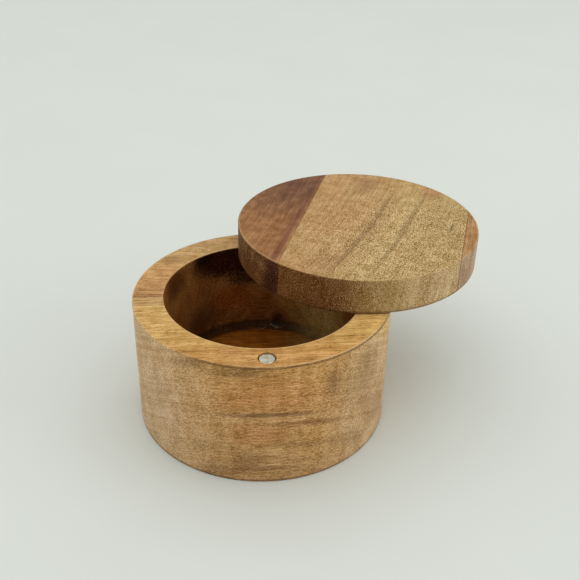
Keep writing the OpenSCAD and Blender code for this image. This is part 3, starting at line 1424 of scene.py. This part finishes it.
    def lid_dark(self) -> WoodFinish:
        """Dark board at the lid's pivot end, with a purple streak beside its seam."""
        seam = self.lid.seams[0]
        return WoodFinish(
            name="lid_dark_wood",
            board=self.lid_frame(),
            turned=self.lid.drum,
            grain=Grain(tilt=12, lean=0.02, bow=0.0004, sway=1.0, seed=3.0),
            tones=(
                (30, (142, 95, 52)), (42, (148, 102, 58)), (52, (154, 108, 62)), (66, (144, 98, 56)),
            ),
            drift=(136, 88, 50),
            marks=(
                Mark((34, 36, 70), (46, 22, 30), (106, 66, 44), 0.9),
                Mark((10, 43, 70), (26, 5, 20), (120, 78, 48), 0.6),
                # Painted shade: the side darkened where it hangs over the well, darkest at the far end
                Mark((-20, 44, 62), (60, 40, 30), (92, 54, 12), 1.0, Zone.SIDE, 0.6, 0.75),
                Mark((-44, 27, 62), (14, 7, 20), (54, 24, 12), 0.95, Zone.SIDE, 0.2, 0.35),
                Mark((-39, 34, 66), (12, 6, 3), (150, 112, 70), 0.45, Zone.SIDE),
            ),
            bands=(
                Band(seam + 1.5, seam + 4.2, (116, 66, 46), 0.66, 0.9),
                Band(seam - 0.2, seam + 1.3, (160, 114, 72), 0.6, 0.4, -60, -12),
            ),
            seams=((seam, 0.3),),
            side_speckle=0.5,
            mottle_contrast=0.16,
            stroke_strength=0.25,
            wear_and_highlight=(0.27, 0.12),
            edge_shade=(0.2, 0.0),
        )

    def lid_pale(self) -> WoodFinish:
        """Wide pale board across the lid, pink at the rear seam and olive towards the strip."""
        rear_seam, strip_seam = self.lid.seams
        return WoodFinish(
            name="lid_pale_wood",
            board=self.lid_frame(),
            turned=self.lid.drum,
            grain=Grain(tilt=8, lean=0.147, bow=0.00117, sway=0.8, seed=4.0),
            tones=(
                (-42, (180, 150, 92)), (-30, (178, 148, 92)), (-20, (178, 148, 92)),
                (-10, (188, 158, 100)), (0, (184, 148, 93)), (14, (183, 142, 90)), (30, (181, 140, 88)),
            ),
            drift=(180, 148, 94),
            marks=(
                Mark((-8, -5.4, 70), (62, 2.2, 20), (112, 84, 46), 0.45),
                Mark((0, -21.2, 70), (66, 2.0, 20), (118, 90, 50), 0.5),
                Mark((4, -11.5, 70), (50, 1.2, 20), (124, 94, 54), 0.3),
                Mark((43, -28, 70), (14, 7, 16), (172, 112, 72), 0.6),
                Mark((40, 3, 70), (13, 9, 16), (152, 108, 68), 0.5),
                Mark((-42, 7, 70), (15, 9, 16), (156, 110, 72), 0.4),
                Mark((5, -40, 70), (6, 1.2, 3), (100, 72, 40), 0.7),
                # Painted shade: the side darkened where it hangs over the well
                Mark((-50, 11, 62), (40, 36, 40), (100, 54, 8), 1.0, Zone.SIDE, 0.3, 0.5),
                # Painted light: the side paled to a pinkish grey where it hangs out over the floor
                Mark((-34, -40, 62), (26, 18, 30), (194, 162, 116), 0.7, Zone.SIDE),
            ),
            seams=((strip_seam, 0.5), (rear_seam, 0.1)),
            fibre_contrast=0.08,
            speckle_contrast=0.5,
            side_speckle=0.32,
            stroke_strength=0.2,
            speckle_from=(-16, -28, 70),
            edge_shade=(0.6, 0.0),
        )

    def lid_strip(self) -> WoodFinish:
        """Orange-brown strip at the lid's front edge."""
        return WoodFinish(
            name="lid_strip_wood",
            board=self.lid_frame(),
            turned=self.lid.drum,
            grain=Grain(tilt=5, lean=0.0, bow=0.0, sway=0.8, seed=5.0),
            tones=(
                (-56, (172, 126, 76)), (-50, (178, 134, 84)), (-40, (170, 126, 78)),
            ),
            drift=(168, 118, 76),
            # Painted light: the strip's side paled to a pinkish grey where it hangs out over the floor
            marks=(Mark((0, -50, 62), (70, 30, 30), (176, 146, 116), 0.85, Zone.SIDE),),
            seams=((self.lid.seams[1], 0.6),),
            edge_shade=(0.3, 0.0),
        )


@dataclass(frozen=True)
class Lamp:
    """Square soft lamp aimed at the box."""

    name: str
    place: Point
    size: float
    power: float
    """Power in watts."""

    def hang(self) -> None:
        """Hangs the lamp."""
        place = Vector(self.place) * MM
        bpy.ops.object.light_add(type="AREA", location=place)
        lamp = bpy.context.active_object
        lamp.name = self.name
        lamp.rotation_euler = (-place).to_track_quat("-Z", "Y").to_euler()
        lamp.data.shape = "SQUARE"
        lamp.data.size = self.size * MM
        lamp.data.energy = self.power


@dataclass
class Studio:
    """Plain pale floor, soft light from above and the camera."""

    floor_tone: Tone = (218, 223, 216)
    cloud_tone: Tone = (216.54, 221.51, 214.56)
    """Tone of the faint clouds that keep the floor from looking like paper."""
    sky_level: float = 0.6
    """Brightness of the soft light from all round, where 1 is white."""
    lamps: tuple[Lamp, ...] = (
        Lamp("overhead_lamp", (0.0, 150.0, 1700.0), 3000.0, 19.0),
        Lamp("right_lamp", (1300.0, -350.0, 500.0), 900.0, 4.0),
        Lamp("left_lamp", (-1200.0, -100.0, 500.0), 900.0, 0.8),
    )
    floor_size: float = 8000.0
    eye: Point = (-21.05, -294.1, 231.54)
    heading: float = 6.28
    """Angle of the view from Y towards X, in degrees."""
    descent: float = 30.84
    """Angle of the view below the level, in degrees."""
    roll: float = 1.14
    """Turn of the camera about its own line of sight, in degrees."""
    lens: float = 52.27
    sensor: float = 36.0

    def build(self) -> None:
        """Builds the floor, the light and the camera."""
        self.lay_floor()
        for lamp in self.lamps:
            lamp.hang()
        self.light_sky()
        self.place_camera()

    def lay_floor(self) -> None:
        """Lays the painted floor."""
        bpy.ops.object.select_all(action="DESELECT")
        bpy.ops.mesh.primitive_plane_add(size=self.floor_size * MM, location=(0, 0, 0))
        floor = bpy.context.active_object
        floor.name = "studio_floor"
        graph = Graph(bpy.data.materials.new("floor_paint"))
        place = BoardFrame().read(graph)
        cloud = graph.noise(graph.mapping(place, scale=(0.011,) * 3), 3.0)
        grit = graph.noise(graph.mapping(place, scale=(1.4,) * 3))
        colour = graph.blend(graph.ease(cloud, 0.35, 0.7), self.floor_tone, self.cloud_tone)
        roughness = graph.times_add(grit, 0.1, 0.55)
        paint = graph.surface(colour, roughness, grit, (0.03, 0.05), Specular_IOR_Level=0.08)
        floor.data.materials.append(paint)

    def light_sky(self) -> None:
        """Lights the scene evenly from all round, and shows a pale backdrop to the eye and in metal."""
        world = bpy.data.worlds.new("studio_sky")
        bpy.context.scene.world = world
        graph = Graph(world)
        light = graph.add("ShaderNodeBackground", {"Color": (1, 1, 1, 1), "Strength": self.sky_level})
        backdrop = graph.add("ShaderNodeBackground", {"Color": linear(self.floor_tone), "Strength": 1.0})
        rays = graph.add("ShaderNodeLightPath").outputs
        seen = graph.math("MAXIMUM", rays["Is Camera Ray"], rays["Is Glossy Ray"])
        seen = graph.math("MAXIMUM", seen, rays["Is Transmission Ray"])
        choice = graph.add("ShaderNodeMixShader", {0: seen, 1: light.outputs[0], 2: backdrop.outputs[0]})
        graph.add("ShaderNodeOutputWorld", {"Surface": choice.outputs[0]})

    def place_camera(self) -> None:
        """Places the camera at the eye, turned as the fields say."""
        bpy.ops.object.camera_add()
        camera = bpy.context.active_object
        camera.name = "studio_camera"
        camera.data.lens = self.lens
        camera.data.sensor_width = self.sensor
        aim = (
            Matrix.Rotation(math.radians(-self.heading), 4, "Z")
            @ Matrix.Rotation(math.radians(90 - self.descent), 4, "X")
            @ Matrix.Rotation(math.radians(self.roll), 4, "Z")
        )
        camera.matrix_world = Matrix.Translation(Vector(self.eye) * MM) @ aim
        bpy.context.scene.camera = camera


def main() -> None:
    """Builds the box, the lid, the pivot and the studio, in that order."""
    logging.basicConfig(level=logging.INFO, format="%(name)s: %(message)s")
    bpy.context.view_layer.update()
    bpy.context.scene.view_settings.view_transform = "Standard"

    pin = PivotPin()
    box = TurnedBox()
    lid = SwivelLid()
    rim_magnet = DiscMagnet("rim_magnet", Body.BOX)
    lid_magnet = DiscMagnet("lid_magnet", Body.LID)

    woods = WoodStore(box, lid, pin).boards()
    nickel = MetalFinish("magnet_nickel", (200, 196, 180), (166, 160, 144), roughness=0.42, grit=0.35)
    steel = MetalFinish("pin_steel", (188, 190, 192), (164, 166, 168), roughness=0.3, grit=0.5)
    brass = MetalFinish("sleeve_brass", (214, 178, 104), (176, 138, 78), roughness=0.34, grit=0.5)
    nylon = NylonFinish("washer_nylon", (232, 230, 218), (214, 210, 196))

    box.build(rim_magnet, pin, woods)
    lid.build(lid_magnet, pin, woods)
    magnet_finish = nickel.build()
    rim_magnet.dress(magnet_finish)
    lid_magnet.dress(magnet_finish)
    pin.dress(steel.build(), brass.build(), nylon.build())
    Studio().build()


if __name__ == "__main__":
    main()
